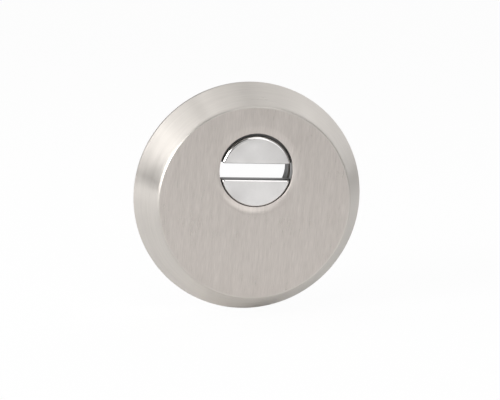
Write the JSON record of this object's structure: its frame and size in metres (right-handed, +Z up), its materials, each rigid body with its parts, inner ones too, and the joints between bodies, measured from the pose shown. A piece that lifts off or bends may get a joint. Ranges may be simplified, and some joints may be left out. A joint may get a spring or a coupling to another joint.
{
  "type": "security escutcheon",
  "caption": "Round conical security escutcheon for a euro-profile lock cylinder: satin cover over hardened steel, with a sprung rotating key disc and threaded bosses.",
  "frame": {"origin": "centre of the round back, on the door face", "axes": "+Z up, +Y into the door, so the front faces -Y; +X to the right as seen from the front"},
  "size_m": [0.055, 0.017, 0.055],
  "materials": {
    "satin_nickel": "satin, brushed upright on the face and round on the side",
    "polished_chrome": "polished",
    "hardened_steel": "hardened, dark",
    "zinc_plate": "zinc plated and passivated dark",
    "pad_plastic": "fine grain",
    "slide_plastic": "smooth, black",
    "bronze": "turned",
    "spring_steel": "rolled strip",
    "turned_steel": "turned, zinc plated",
    "screw_steel": "black oxide",
    "pin_steel": "ground"
  },
  "bodies": {
    "escutcheon": {"cover": "satin_nickel", "armour_core": "hardened_steel", "base_plate": "zinc_plate", "backing_pad": "pad_plastic", "slide_washer": "slide_plastic", "wave_spring": "spring_steel", "left_fixing_boss": "turned_steel", "right_fixing_boss": "turned_steel", "cover_screw_1": "screw_steel", "cover_screw_2": "screw_steel", "cover_screw_3": "screw_steel", "cover_screw_4": "screw_steel", "drill_pin_1": "pin_steel", "drill_pin_2": "pin_steel", "drill_pin_3": "pin_steel", "drill_pin_4": "pin_steel"},
    "disc_carrier": {"thrust_ring": "bronze"},
    "disc": {"key_disc": "polished_chrome"}
  },
  "joints": [
    {"name": "disc_press", "type": "slide", "parent": "escutcheon", "child": "disc_carrier", "axis": [0, 1, 0], "range_m": [0, 0.0015], "stiffness_N_per_m": 2000, "springref_m": -0.0005, "deforming": ["wave_spring"]},
    {"name": "disc_turn", "type": "hinge", "parent": "disc_carrier", "child": "disc", "pos_m": [0, -0.008, 0.0075], "axis": [0, 1, 0], "continuous": true}
  ]
}
